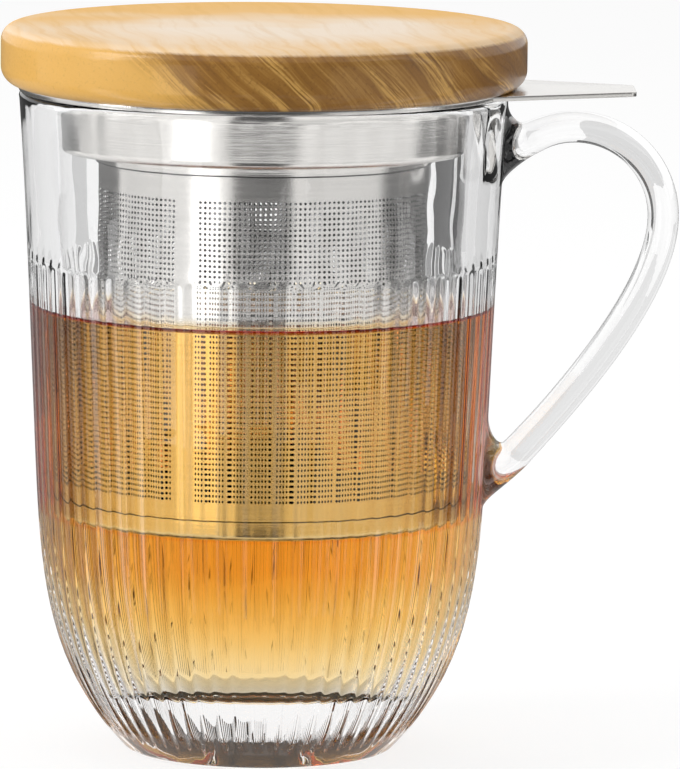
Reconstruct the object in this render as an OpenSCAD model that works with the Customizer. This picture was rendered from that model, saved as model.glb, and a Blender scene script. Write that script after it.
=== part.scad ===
// Lidded tea mug with infuser: a pressed glass mug with a fused handle, a steel
// infuser that hangs in it by a flat rim plate, and a turned wooden lid.
// Millimetres, +Z up. The origin is on the mug's axis, on the surface it stands on,
// and the handle and the lifting tab point along +X.

/* [Glass mug] */
// Height of the glass rim above the table
mug_h = 119.6; // [110:0.1:130]
// Outer diameter of the rim
mouth_d = 88; // [84:0.5:94]
// Diameter of the flat foot
foot_d = 48; // [42:0.5:56]
// Radius lost for each millimetre that the straight wall goes down
wall_taper = 0.042; // [0.02:0.002:0.06]
// How far the smooth band flares out towards the rim
rim_flare = 0.45; // [0:0.05:1]
// Height at which the wall starts to round in towards the foot
base_round_h = 62; // [50:1:75]
// Wall thickness in the smooth band
wall_t = 6.1; // [5:0.1:7]
// Thickness of the glass under the cavity
floor_t = 14.3; // [8:0.1:16]
// Radius of the cavity's flat floor
cavity_floor_r = 21; // [16:0.5:24]
// Width of the flat land on top of the rim
rim_land = 1.6; // [0.8:0.1:2.4]

/* [Pressed flutes] */
// Number of flutes round the mug, and of the narrow ridges between them
flute_count = 66; // [48:1:72]
// Height of the flutes' round tops
flute_top_h = 90; // [70:0.5:95]
// Height of the flutes' lower ends above the foot
flute_low_h = 4; // [3:0.5:8]
// How far a ridge stands out of the wall
ridge_rise = 0.1; // [0:0.05:0.5]
// Depth of a flute below the wall
flute_depth = 0.35; // [0.1:0.05:0.6]

/* [Glass handle] */
// Thickness of the handle, seen from the side
handle_t = 5.6; // [4.5:0.1:7]
// Width of the handle, across the grip
handle_w = 10; // [8:0.5:13]
// How far the middle of the handle's crest lies below the rim
handle_crest_drop = 6.1; // [5:0.1:12]
// Distance of the middle of the grip from the mug's axis, where it is furthest out
handle_reach = 72.1; // [66:0.1:78]
// Bend radius of the upper corner
handle_bend_r = 16.1; // [12:0.1:18]
// Height at which the middle line of the grip runs into the wall at its lower end
handle_low_h = 46.5; // [42:0.5:56]
// Thickness of each root where it is fused on, seen from the side
handle_root_h = 10.8; // [7:0.1:13]
// Width of each root where it is fused on
handle_root_w = 14.5; // [10:0.5:18]

/* [Infuser rim and tab] */
// Thickness of the flat rim plate
plate_t = 0.9; // [0.6:0.1:1.4]
// Distance of the tab's tip from the axis
tab_reach = 66.7; // [60:0.1:75]
// Width of the tab where it leaves the lid
tab_root_w = 27; // [20:0.5:32]
// Width of the tab at its tip
tab_tip_w = 13; // [8:0.5:18]
// Corner radius of the tip
tab_corner_r = 1.6; // [0.8:0.1:3]

/* [Infuser basket] */
// Outer diameter of the collar under the rim plate
collar_d = 74; // [72:0.5:75]
// Height of the collar, down to its shoulder
collar_h = 10; // [8:0.5:14]
// How much narrower the collar is at its shoulder, in radius
collar_draft = 0.6; // [0.2:0.1:1]
// Radius of the collar's lower corner
collar_corner_r = 1.5; // [0.8:0.1:3]
// Height of the neck that grips the sleeve
neck_h = 2; // [1.5:0.5:4]
// Sheet thickness of the collar and neck
collar_t = 0.6; // [0.4:0.1:0.8]
// Outer diameter of the perforated sleeve
sleeve_d = 59.2; // [54:0.2:62]
// Sheet thickness of the sleeve and its floor
sleeve_t = 0.4; // [0.3:0.1:0.6]
// Height of the basket's underside above the table
basket_low_h = 43; // [36:0.5:50]
// Height of the plain ring round the basket's lower end
base_ring_h = 3.5; // [2.5:0.5:6]
// Sheet thickness of the base ring
base_ring_t = 0.4; // [0.3:0.1:0.6]
// Width of the ledge that carries the floor
base_ledge = 3; // [2:0.5:6]

/* [Wooden lid] */
// Diameter of the lid
lid_d = 94.5; // [92:0.5:104]
// Thickness of the lid
lid_t = 10.8; // [8:0.1:14]
// Radius of the lid's upper edge
lid_top_r = 2.8; // [1:0.1:3.4]
// Radius of the lid's lower edge
lid_low_r = 3.4; // [1:0.1:3.4]
// Depth of the spigot that centres the lid in the collar
spigot_h = 5.8; // [4:0.1:7]
// Gap between the spigot and the collar
spigot_gap = 2; // [1.5:0.1:3]

/* [Lid seal] */
// Height of the silicone ring
seal_h = 2.4; // [1.8:0.1:3]
// Depth of its groove in the spigot
seal_seat = 1.4; // [1:0.1:2]
// Thickness of each of its two fins
seal_fin_t = 0.6; // [0.4:0.1:0.8]
// Clearance between the fins and the collar
seal_clear = 0.3; // [0.2:0.05:0.5]

/* [Hidden] */
$fn = 96;

// How far a cutter runs past the face that it opens
cut_over = 1;

mouth_r = mouth_d / 2;
foot_r = foot_d / 2;
lid_r = lid_d / 2;
collar_r = collar_d / 2;
sleeve_r = sleeve_d / 2;

// Outside of the glass: a straight taper, a slight flare above the flutes, and a
// fourth-power rounding down to the foot.
base_power = 4;
straight_foot_r = mouth_r - rim_flare - wall_taper * mug_h;
function flare_at(z) = z < flute_top_h ? 0 : rim_flare * pow((z - flute_top_h) / (mug_h - flute_top_h), 2);
function rounding_at(z) = z > base_round_h ? 0 : pow(1 - z / base_round_h, base_power);
function outer_r(z) =
    straight_foot_r + wall_taper * z + flare_at(z)
    - (straight_foot_r - foot_r) * rounding_at(z);

// Inside of the glass: the same taper, opening at the rim and rounding to the floor.
cavity_power = 3;
cavity_round_h = base_round_h - floor_t;
lead_in_h = 9;
lead_in_r = 2.6;
straight_cavity_r = straight_foot_r - wall_t;
function lead_in_at(z) =
    z < mug_h - lead_in_h ? 0 : lead_in_r * pow((z - mug_h + lead_in_h) / lead_in_h, 2);
function cavity_rounding_at(z) =
    z > cavity_round_h ? 0 : pow((cavity_round_h - z) / (cavity_round_h - floor_t), cavity_power);
function inner_r(z) =
    straight_cavity_r + wall_taper * z + lead_in_at(z)
    - (straight_cavity_r + wall_taper * floor_t - cavity_floor_r) * cavity_rounding_at(z);

// The flutes fade in above the foot and end in short arches at their tops. A ridge
// points along +X, and a flute between two ridges is hollow.
flute_fade_low = 4;
flute_fade_top = 2.5;
function ramp(t) = t < 0 ? 0 : t > 1 ? 1 : t * t * (3 - 2 * t);
function flute_at(z) =
    ramp((z - flute_low_h) / flute_fade_low) * ramp((flute_top_h - z) / flute_fade_top);
flute_phases = [0, 0.27, 0.73];
flute_shape = [ridge_rise, -flute_depth, -flute_depth];
points_round = flute_count * len(flute_phases);

// Heights of the rings of points on the outside, from the foot edge to the rim.
foot_edge = 0.8;
rim_round = 1.2;
base_rings = 10;
wall_rings = 3;
rounded_share = 0.8;
ring_spacing = 1.5;
rounded_h = base_round_h * rounded_share;
function base_ring_z(i) = foot_edge + (rounded_h - foot_edge) * pow(i / base_rings, ring_spacing);
ring_heights = concat(
    [for (i = [0 : base_rings]) base_ring_z(i)],
    [for (i = [1 : wall_rings])
        rounded_h + (flute_top_h - flute_fade_top - rounded_h) * i / wall_rings],
    [flute_top_h - flute_fade_top / 2, flute_top_h, (flute_top_h + mug_h) / 2, mug_h - rim_round]
);

function ring_point(z, k) =
    let (
        flute = floor(k / len(flute_phases)),
        side = k % len(flute_phases),
        a = (flute + flute_phases[side]) * 360 / flute_count,
        r = outer_r(z) + flute_shape[side] * flute_at(z)
    )
    [r * cos(a), r * sin(a), z];
function plain_point(r, z, k) =
    let (a = (floor(k / len(flute_phases)) + flute_phases[k % len(flute_phases)]) * 360 / flute_count)
    [r * cos(a), r * sin(a), z];

// Triangles between two neighbouring rings of n points that start at s.
function band(s, n) = [
    for (k = [0 : n - 1])
        each [
            [s + k, s + n + k, s + (k + 1) % n],
            [s + (k + 1) % n, s + n + k, s + n + (k + 1) % n]
        ]
];

rim_top_r = mouth_r - rim_round;
seat_r = rim_top_r - rim_land;

module fluted_blank() {
    n = points_round;
    rings = concat(
        [[for (k = [0 : n - 1]) plain_point(foot_r - foot_edge / 2, 0, k)]],
        [for (z = ring_heights) [for (k = [0 : n - 1]) ring_point(z, k)]],
        [[for (k = [0 : n - 1]) plain_point(rim_top_r, mug_h, k)]]
    );
    last = len(rings) - 1;
    polyhedron(
        points = [for (ring = rings) each ring],
        faces = concat(
            [[for (k = [0 : n - 1]) k]],
            [for (i = [0 : last - 1]) each band(i * n, n)],
            [[for (k = [n - 1 : -1 : 0]) last * n + k]]
        ),
        convexity = 6
    );
}

// The cavity as a solid of revolution, open at the rim.
cavity_steps = 14;
cavity_spacing = 1.6;
lead_in_steps = 4;
module cavity() {
    rotate_extrude()
        polygon(concat(
            [[0, floor_t]],
            [for (i = [0 : cavity_steps])
                let (z = floor_t + (cavity_round_h - floor_t) * pow(i / cavity_steps, cavity_spacing))
                [inner_r(z), z]],
            [[inner_r(mug_h - lead_in_h), mug_h - lead_in_h]],
            [for (i = [1 : lead_in_steps])
                let (z = mug_h - lead_in_h + (lead_in_h - rim_round) * i / lead_in_steps)
                [inner_r(z), z]],
            [[seat_r, mug_h], [seat_r, mug_h + cut_over], [0, mug_h + cut_over]]
        ));
}

module mug_body() {
    color([0.86, 0.93, 0.93, 0.45])
        difference() {
            fluted_blank();
            cavity();
        }
}

// Middle line of the handle in the XZ plane: a leg that bows out from the lower root,
// a round upper corner, and a short run back to the wall.
handle_sink = 1.7;
handle_crest_h = mug_h - handle_crest_drop;
bend_centre = [handle_reach - handle_bend_r, handle_crest_h - handle_bend_r];
bend_from = -1;
leg_start = [outer_r(handle_low_h) - handle_sink, handle_low_h];
leg_end = bend_centre + handle_bend_r * [cos(bend_from), sin(bend_from)];
leg_pull = 17;
leg_control = leg_end - leg_pull * [-sin(bend_from), cos(bend_from)];
crest = bend_centre + [0, handle_bend_r];
top_drop = 7;
top_end = [outer_r(handle_crest_h - top_drop) - handle_sink, handle_crest_h - top_drop];
top_control = [(crest.x + top_end.x) / 2, crest.y];
leg_steps = 12;
bend_steps = 14;
top_steps = 6;
function bezier(a, b, c, t) = (1 - t) * (1 - t) * a + 2 * t * (1 - t) * b + t * t * c;
handle_line = concat(
    [for (i = [0 : leg_steps - 1]) bezier(leg_start, leg_control, leg_end, i / leg_steps)],
    [for (i = [0 : bend_steps - 1])
        let (a = bend_from + (90 - bend_from) * i / bend_steps)
        bend_centre + handle_bend_r * [cos(a), sin(a)]],
    [for (i = [0 : top_steps]) bezier(crest, top_control, top_end, i / top_steps)]
);
handle_last = len(handle_line) - 1;

// Towards each root the section widens and turns until it lies along the wall, and it
// moves up, because the glass gathers in the crook above the grip.
flare_steps = 6;
flare_power = 3;
handle_sides = 16;
low_root_lift = 4.5;
top_root_lift = 3;
function root_share(i) =
    let (near = min(i, handle_last - i) / flare_steps)
    near > 1 ? 0 : pow(1 - near, flare_power);
function root_lift(i) =
    [0, root_share(i) * (i < handle_last / 2 ? low_root_lift : top_root_lift)];
function across(i) =
    let (
        ahead = handle_line[min(i + 1, handle_last)],
        behind = handle_line[max(i - 1, 0)],
        d = (ahead - behind) / norm(ahead - behind)
    )
    [d.y, -d.x];
function reach(i) =
    let (
        along_wall = i < handle_last / 2 ? [0, -1] : [0, 1],
        turned = (1 - root_share(i)) * across(i) + root_share(i) * along_wall,
        dir = turned / norm(turned),
        size = (handle_t + (handle_root_h - handle_t) * root_share(i)) / 2
    )
    size / (dir * across(i)) * dir;
function half_width(i) = (handle_w + (handle_root_w - handle_w) * root_share(i)) / 2;

module mug_handle() {
    function section(i) = [
        for (k = [0 : handle_sides - 1])
            let (
                a = 360 * k / handle_sides,
                m = handle_line[i] + root_lift(i) + cos(a) * reach(i)
            )
            [m.x, half_width(i) * sin(a), m.y]
    ];
    color([0.88, 0.94, 0.94, 0.5])
        polyhedron(
            points = [for (i = [0 : handle_last]) each section(i)],
            faces = concat(
                [[for (k = [0 : handle_sides - 1]) k]],
                [for (i = [0 : handle_last - 1]) each band(i * handle_sides, handle_sides)],
                [[for (k = [handle_sides - 1 : -1 : 0]) handle_last * handle_sides + k]]
            ),
            convexity = 4
        );
}

// The infuser's rim plate lies on the glass rim. Its tab points along +X.
plate_low = mug_h;
plate_top = mug_h + plate_t;
plate_r = mouth_r;
collar_in_r = collar_r - collar_t;
tab_tip_c = [tab_reach - tab_corner_r, tab_tip_w / 2 - tab_corner_r];
tab_root = [lid_r, tab_root_w / 2];
tab_lean = atan2(tab_root.y - tab_tip_w / 2, tab_tip_c.x - tab_root.x);
tab_overlap = 2;
tab_inner_x = collar_in_r + tab_overlap;
tab_inner = [tab_inner_x, tab_root.y + (tab_root.x - tab_inner_x) * tan(tab_lean)];
tab_steps = 6;
tab_corner = [for (i = [0 : tab_steps])
    let (a = (90 - tab_lean) * i / tab_steps)
    tab_tip_c + tab_corner_r * [cos(a), sin(a)]];
module tab_outline() {
    polygon(concat(
        [[tab_inner.x, -tab_inner.y]],
        [for (i = [tab_steps : -1 : 0]) [tab_corner[i].x, -tab_corner[i].y]],
        tab_corner,
        [tab_inner]
    ));
}

module infuser_rim_plate() {
    color([0.78, 0.78, 0.77])
        translate([0, 0, plate_low])
            linear_extrude(plate_t)
                difference() {
                    union() {
                        circle(plate_r);
                        tab_outline();
                    }
                    circle(collar_in_r);
                }
}

// The drawn collar hangs from the plate's inner edge and narrows to the neck.
shoulder_z = plate_low - collar_h;
neck_low = shoulder_z - neck_h;
neck_out_r = sleeve_r + collar_t;
collar_low_r = collar_r - collar_draft;
corner_steps = 6;
function corner(c, r) = [for (i = [0 : corner_steps])
    let (a = 90 * i / corner_steps)
    c + r * [cos(a), -sin(a)]];
module infuser_collar() {
    centre = [collar_low_r - collar_corner_r, shoulder_z + collar_corner_r];
    color([0.72, 0.72, 0.71])
        rotate_extrude()
            polygon(concat(
                [[collar_r, plate_low]],
                corner(centre, collar_corner_r),
                [[neck_out_r, shoulder_z], [neck_out_r, neck_low], [sleeve_r, neck_low],
                 [sleeve_r, shoulder_z + collar_t]],
                [for (i = [corner_steps : -1 : 0]) corner(centre, collar_corner_r - collar_t)[i]],
                [[collar_in_r, plate_low]]
            ));
}

// The sleeve is rolled sheet, gripped by the neck above and the base ring below.
ledge_z = basket_low_h + base_ring_t;
sleeve_top = shoulder_z + collar_t;
sleeve_in_r = sleeve_r - sleeve_t;
module infuser_sleeve() {
    color([0.66, 0.66, 0.65])
        translate([0, 0, ledge_z])
            difference() {
                cylinder(h = sleeve_top - ledge_z, r = sleeve_r);
                translate([0, 0, -cut_over])
                    cylinder(h = sleeve_top - ledge_z + 2 * cut_over, r = sleeve_in_r);
            }
}

base_corner_r = 1;
module infuser_base_ring() {
    ring_r = sleeve_r + base_ring_t;
    color([0.74, 0.74, 0.73])
        rotate_extrude()
            polygon(concat(
                [[ring_r, basket_low_h + base_ring_h]],
                corner([ring_r - base_corner_r, basket_low_h + base_corner_r], base_corner_r),
                [[sleeve_in_r - base_ledge, basket_low_h], [sleeve_in_r - base_ledge, ledge_z],
                 [sleeve_r, ledge_z], [sleeve_r, basket_low_h + base_ring_h]]
            ));
}

module infuser_floor() {
    color([0.66, 0.66, 0.65])
        translate([0, 0, ledge_z]) cylinder(h = sleeve_t, r = sleeve_in_r);
}

// The lid is one turned piece: a round-edged disc and the spigot under it.
lid_low = plate_top;
lid_top = lid_low + lid_t;
spigot_r = collar_in_r - spigot_gap;
spigot_low = lid_low - spigot_h;
seal_low = lid_low - (spigot_h + seal_h) / 2;
seal_in_r = spigot_r - seal_seat;
edge_steps = 8;
module lid_disc() {
    low_c = [lid_r - lid_low_r, lid_low + lid_low_r];
    top_c = [lid_r - lid_top_r, lid_top - lid_top_r];
    spigot_edge = 0.8;
    color([0.76, 0.55, 0.28])
        rotate_extrude()
            polygon(concat(
                [[0, spigot_low], [spigot_r - spigot_edge, spigot_low],
                 [spigot_r, spigot_low + spigot_edge], [spigot_r, seal_low],
                 [seal_in_r, seal_low], [seal_in_r, seal_low + seal_h],
                 [spigot_r, seal_low + seal_h], [spigot_r, lid_low]],
                [for (i = [0 : edge_steps])
                    let (a = -90 + 90 * i / edge_steps)
                    low_c + lid_low_r * [cos(a), sin(a)]],
                [for (i = [0 : edge_steps])
                    let (a = 90 * i / edge_steps)
                    top_c + lid_top_r * [cos(a), sin(a)]],
                [[0, lid_top]]
            ));
}

// Silicone ring with two fins, set in the spigot's groove.
seal_stand = 0.4;
seal_root_r = spigot_r + seal_stand;
seal_fin_r = collar_in_r - collar_draft * (lid_low - seal_low) / collar_h - seal_clear;
module lid_seal() {
    fin_low = seal_low + seal_fin_t / 2;
    fin_top = seal_low + seal_h - seal_fin_t / 2;
    color([0.82, 0.82, 0.8])
        rotate_extrude()
            polygon([
                [seal_in_r, seal_low], [seal_root_r, seal_low],
                [seal_root_r, fin_low], [seal_fin_r, fin_low],
                [seal_fin_r, fin_low + seal_fin_t / 2], [seal_root_r, fin_low + seal_fin_t],
                [seal_root_r, fin_top - seal_fin_t], [seal_fin_r, fin_top - seal_fin_t / 2],
                [seal_fin_r, fin_top], [seal_root_r, fin_top],
                [seal_root_r, seal_low + seal_h], [seal_in_r, seal_low + seal_h]
            ]);
}

mug_body();
mug_handle();
infuser_rim_plate();
infuser_collar();
infuser_sleeve();
infuser_base_ring();
infuser_floor();
lid_disc();
lid_seal();
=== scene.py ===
"""Lidded tea mug with infuser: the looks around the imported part.

A pressed glass mug with upright flutes and a fused handle, amber tea, a steel infuser
that hangs by its rim plate, and a turned wooden lid with a silicone ring. The frame is
the part's own: metres, +Z up the mug's axis, +X towards the handle. Shapes are worked
out in millimetres and scaled once, where each mesh is made.
"""

import math

import bmesh
import bpy
import numpy as np
from mathutils import Euler, Matrix, Vector, geometry


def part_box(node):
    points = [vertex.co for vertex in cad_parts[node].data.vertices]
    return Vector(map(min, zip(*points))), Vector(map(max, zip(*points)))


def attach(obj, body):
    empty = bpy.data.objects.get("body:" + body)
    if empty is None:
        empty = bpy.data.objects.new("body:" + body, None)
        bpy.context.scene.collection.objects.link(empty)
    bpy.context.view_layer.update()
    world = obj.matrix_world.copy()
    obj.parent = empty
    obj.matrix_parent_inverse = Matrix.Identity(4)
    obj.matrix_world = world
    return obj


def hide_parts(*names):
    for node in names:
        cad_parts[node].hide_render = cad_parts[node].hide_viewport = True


bl_info = {
    "name": "Tea Mug with Infuser",
    "version": (1, 0, 0),
    "blender": (4, 5, 0),
    "location": "3D View > Sidebar > Tea Mug",
    "description": "Builds a fluted glass tea mug with its infuser, lid, tea and studio",
    "category": "Add Mesh",
}

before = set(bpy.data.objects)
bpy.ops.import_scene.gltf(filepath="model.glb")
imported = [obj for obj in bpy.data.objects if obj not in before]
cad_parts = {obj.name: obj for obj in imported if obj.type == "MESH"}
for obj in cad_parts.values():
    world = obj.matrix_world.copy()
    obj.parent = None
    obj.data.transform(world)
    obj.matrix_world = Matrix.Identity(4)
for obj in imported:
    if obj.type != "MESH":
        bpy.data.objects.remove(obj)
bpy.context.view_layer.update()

# One millimetre in metres, millimetres in a metre, and the azimuth of the camera's side.
MM, PER_METRE = 0.001, 1000.0
FRONT = -90.0
# Gaps that keep faces from lying in each other, and the solids' sizes, in mm.
TOUCH_GAP = 0.02
SHEET_GAP = 0.03
RIM_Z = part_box("mug_body")[1].z / MM
LID_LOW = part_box("infuser_rim_plate")[1].z / MM
LID_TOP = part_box("lid_disc")[1].z / MM
LID_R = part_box("lid_disc")[1].x / MM
SPIGOT_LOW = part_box("lid_disc")[0].z / MM
PLATE_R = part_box("infuser_rim_plate")[1].y / MM
TAB_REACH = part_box("infuser_rim_plate")[1].x / MM
NECK_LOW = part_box("infuser_collar")[0].z / MM
SLEEVE_LOW, SLEEVE_TOP = (corner.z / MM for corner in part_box("infuser_sleeve"))
SLEEVE_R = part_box("infuser_sleeve")[1].x / MM
BASKET_LOW, RING_TOP = (corner.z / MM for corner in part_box("infuser_base_ring"))
SEAL_LOW, SEAL_TOP = (corner.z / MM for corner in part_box("lid_seal"))
SEAL_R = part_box("lid_seal")[1].x / MM


# ==== Settings that a user would change ====


def length(name, description, millimetres):
    """A size property, written in millimetres and kept in metres."""
    return bpy.props.FloatProperty(
        name=name, description=description, default=millimetres * MM,
        min=0.0, unit="LENGTH", subtype="DISTANCE", precision=5,
    )


def colour(name, description, value):
    """A linear colour property."""
    return bpy.props.FloatVectorProperty(
        name=name, description=description, default=value, size=3,
        min=0.0, max=1.0, subtype="COLOR",
    )


def amount(name, description, value, least=0.0):
    """A plain number."""
    return bpy.props.FloatProperty(name=name, description=description, default=value, min=least)


class GlassSettings(bpy.types.PropertyGroup):
    """The pressed glass mug and its handle."""

    flutes: bpy.props.IntProperty(
        name="Flutes", description="Upright flutes round the mug", default=66, min=12, max=120
    )
    flute_depth: length("Flute depth", "Depth of a flute in the straight wall", 0.2)
    flute_depth_low: length("Flute depth low", "How much deeper the flutes get near the foot", 0.2)
    flute_top: length("Flute tops", "Height of the round upper ends of the flutes", 90.0)
    flute_foot: length("Flute feet", "Height of the pointed lower ends of the flutes", 3.6)
    handle_thick: length("Handle thickness", "Thickness of the handle seen from the side", 5.6)
    handle_wide: length("Handle width", "Width of the handle across the grip", 10.0)


class InfuserSettings(bpy.types.PropertyGroup):
    """The steel basket."""

    hole_columns: bpy.props.IntProperty(
        name="Hole columns", description="Columns of holes round the sleeve", default=211, min=8
    )
    hole_rows: bpy.props.IntProperty(
        name="Hole rows", description="Rows of holes up the sleeve", default=57, min=2
    )
    hole_size: length("Hole size", "Diameter of one hole", 0.55)
    holes_low: length("Holes start", "Height of the lower edge of the perforation", 49.5)
    holes_high: length("Holes end", "Height of the upper edge of the perforation", 103.4)
    steel: colour("Steel", "Colour of the steel", (0.84, 0.82, 0.79))


class TeaSettings(bpy.types.PropertyGroup):
    """The tea in the mug."""

    level: length("Tea level", "Height of the tea's surface", 80.2)
    tint: colour("Tint", "Share of each colour that tea lets through", (0.962, 0.705, 0.05))
    strength: amount("Strength", "How strongly the tea absorbs, for each metre", 55.0)
    strength_wall: amount(
        "Strength by the wall", "The same for the thin layer by the glass round the basket", 600.0)


class LidSettings(bpy.types.PropertyGroup):
    """The wooden lid and its ring."""

    # Golden colour of the rim's left side: the wood's own outer tone, with the key light from the
    # left painted in.
    sapwood_and_key_light: colour("Sapwood", "Colour of the golden sapwood side", (0.86, 0.48, 0.10))
    light_wood: colour("Light wood", "Colour of the pale streaks", (0.70, 0.40, 0.10))
    mid_wood: colour("Wood", "Main colour of the heartwood", (0.33, 0.150, 0.022))
    dark_wood: colour("Dark wood", "Colour of the dark streaks", (0.15, 0.058, 0.008))
    # Pale colour of the top: lighter from sanding, with a painted sheen of the light grazing it.
    pale_top_and_sheen: colour("Sanded top", "Colour of the sanded top", (0.93, 0.79, 0.64))
    silicone: colour("Silicone", "Colour of the silicone ring", (0.72, 0.71, 0.68))


class StageSettings(bpy.types.PropertyGroup):
    """The studio."""

    world_level: amount("World level", "Strength of the even light from all sides", 0.5)
    lens: amount("Lens", "Focal length on a 36 mm sensor, in mm", 357.0, least=20.0)


class TeaMugSettings(bpy.types.PropertyGroup):
    """All settings of the mug."""

    glass: bpy.props.PointerProperty(type=GlassSettings)
    infuser: bpy.props.PointerProperty(type=InfuserSettings)
    tea: bpy.props.PointerProperty(type=TeaSettings)
    lid: bpy.props.PointerProperty(type=LidSettings)
    stage: bpy.props.PointerProperty(type=StageSettings)


# ==== Shader maths ====

WHITE = (1.0, 1.0, 1.0)


class Wire:
    """A node's output that can be used in plain arithmetic on values."""

    def __init__(self, finish, socket):
        self.finish, self.socket = finish, socket

    def __add__(self, other):
        return self.finish.maths("ADD", self, other)

    def __sub__(self, other):
        return self.finish.maths("SUBTRACT", self, other)

    def __mul__(self, other):
        return self.finish.maths("MULTIPLY", self, other)

    def __truediv__(self, other):
        return self.finish.maths("DIVIDE", self, other)

    def __rsub__(self, other):
        return self.finish.maths("SUBTRACT", other, self)

    __radd__, __rmul__ = __add__, __mul__

    def clamp(self):
        return self.finish.node("ShaderNodeClamp", {}, {0: self})

    def out(self, key):
        """Another output of the same node."""
        return Wire(self.finish, self.socket.node.outputs[key])


class Finish:
    """A material or world under construction, as a tree of nodes."""

    def __init__(self, owner):
        owner.use_nodes = True
        self.owner, self.tree = owner, owner.node_tree
        self.tree.nodes.clear()

    def node(self, kind, settings=None, inputs=None, output=0):
        """Adds a node: its settings first, then the values or wires of its sockets."""
        node = self.tree.nodes.new(kind)
        for key, value in (settings or {}).items():
            if key == "stops":
                ramp = node.color_ramp.elements
                while len(ramp) < len(value):
                    ramp.new(0.5)
                for element, (position, shade) in zip(ramp, value):
                    element.position, element.color = position, (*shade, 1.0)
            else:
                setattr(node, key, value)
        for key, value in (inputs or {}).items():
            if isinstance(value, Wire):
                self.tree.links.new(value.socket, node.inputs[key])
            else:
                socket = node.inputs[key]
                socket.default_value = (
                    (*value, 1.0) if socket.type == "RGBA" and len(value) == 3 else value
                )
        return Wire(self, node.outputs[output])

    def maths(self, operation, *values):
        return self.node("ShaderNodeMath", {"operation": operation}, dict(enumerate(values)))

    def where(self):
        """A point of the surface, in metres from the part's origin."""
        return self.node("ShaderNodeTexCoord", output=3)

    def split(self, where):
        """The three parts of a point."""
        parts = self.node("ShaderNodeSeparateXYZ", {}, {0: where})
        return parts, parts.out(1), parts.out(2)

    def join(self, x, y, z):
        return self.node("ShaderNodeCombineXYZ", {}, {0: x, 1: y, 2: z})

    def noise(self, where, scale, detail=2.0, roughness=0.5):
        return self.node(
            "ShaderNodeTexNoise", {},
            {"Vector": where, "Scale": scale, "Detail": detail, "Roughness": roughness},
        )

    def stretch(self, where, scale):
        return self.node("ShaderNodeMapping", {}, {"Vector": where, "Scale": scale})

    def mix(self, share, first, second):
        return self.node(
            "ShaderNodeMix", {"data_type": "RGBA"}, {0: share, 6: first, 7: second}, output=2
        )

    def blend(self, share, first, second):
        return self.node("ShaderNodeMixShader", {}, {0: share, 1: first, 2: second})

    def glow(self, level):
        return self.node("ShaderNodeEmission", {}, {0: WHITE, 1: level})

    def bump(self, height, distance):
        return self.node("ShaderNodeBump", {}, {"Height": height, "Distance": distance})

    def skin(self, **inputs):
        named = {key.replace("_", " "): value for key, value in inputs.items()}
        return self.node("ShaderNodeBsdfPrincipled", {}, named)

    def seen_share(self):
        """1 for what is seen, mirrored or seen through glass, and 0 for what only gives light."""
        path = self.node("ShaderNodeLightPath")
        rays = [path.out(f"Is {kind} Ray") for kind in ("Camera", "Glossy", "Transmission")]
        return (rays[0] + rays[1] + rays[2]).clamp()

    def finish(self, surface=None, volume=None):
        """Joins the tree to its output, and gives back the material or world."""
        is_world = isinstance(self.owner, bpy.types.World)
        kind = "ShaderNodeOutputWorld" if is_world else "ShaderNodeOutputMaterial"
        output = self.tree.nodes.new(kind)
        for key, wire in (("Surface", surface), ("Volume", volume)):
            if wire:
                self.tree.links.new(wire.socket, output.inputs[key])
        return self.owner


def new_finish(name):
    return Finish(bpy.data.materials.new(name))


# ==== Mesh building ====


class Undoable:
    """What all operators of the add-on share."""

    bl_options = {"REGISTER", "UNDO"}


def add_piece(name, mesh, finishes, body, nodes=(), sharp=35.0):
    """Dresses a mesh and lets it ride on its body, in place of the solids that it replaces."""
    for finish in finishes:
        mesh.materials.append(finish)
    mesh.shade_smooth()
    if sharp:
        mesh.set_sharp_from_angle(angle=math.radians(sharp))
    piece = bpy.data.objects.new(name, mesh)
    bpy.context.scene.collection.objects.link(piece)
    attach(piece, body)
    if nodes:
        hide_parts(*nodes)
    return piece


def make_piece(name, points, faces, finishes, body, nodes=(), sharp=35.0, faces_of=None):
    """Makes a piece from points in millimetres; faces_of gives each face's finish."""
    mesh = bpy.data.meshes.new(name)
    mesh.from_pydata((np.asarray(points, float) * MM).tolist(), [], faces)
    work = bmesh.new()
    work.from_mesh(mesh)
    bmesh.ops.recalc_face_normals(work, faces=work.faces)
    if work.calc_volume(signed=True) < 0:
        bmesh.ops.reverse_faces(work, faces=work.faces)
    work.to_mesh(mesh)
    work.free()
    if faces_of is not None:
        mesh.polygons.foreach_set("material_index", faces_of)
    return add_piece(name, mesh, finishes, body, nodes, sharp)


def band(first, second):
    """Quads between two closed rings of vertex numbers."""
    return [(first[i - 1], first[i], second[i], second[i - 1]) for i in range(len(first))]


def turned(profile, steps, closed=True):
    """Points and faces of a profile of (radius, height) turned round the axis."""
    points, rings = [], []
    for radius, height in profile:
        if radius < 1e-6:
            rings.append([len(points)])
            points.append((0.0, 0.0, height))
            continue
        rings.append(list(range(len(points), len(points) + steps)))
        turn = 2 * math.pi * np.arange(steps) / steps
        points += np.column_stack(
            [radius * np.cos(turn), radius * np.sin(turn), np.full(steps, height)]
        ).tolist()
    faces = []
    pairs = list(zip(rings, rings[1:])) + ([(rings[-1], rings[0])] if closed else [])
    for low, high in pairs:
        if len(low) == 1 and len(high) == 1:
            continue
        if len(low) == 1 or len(high) == 1:
            tip, ring = (low[0], high) if len(low) == 1 else (high[0], low)
            faces += [(tip, ring[i - 1], ring[i]) for i in range(len(ring))]
        else:
            faces += band(low, high)
    return points, faces


def turned_piece(name, profile, steps, finish, body, node, closed=True):
    """Makes a piece that is turned from one profile."""
    points, faces = turned(profile, steps, closed)
    return make_piece(name, points, faces, [finish], body, (node,))


def around(centre, radius, angles):
    """Points of the plane round a centre, at angles in radians."""
    x, y = centre
    return [np.array([x + radius * math.cos(a), y + radius * math.sin(a)]) for a in angles]


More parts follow.
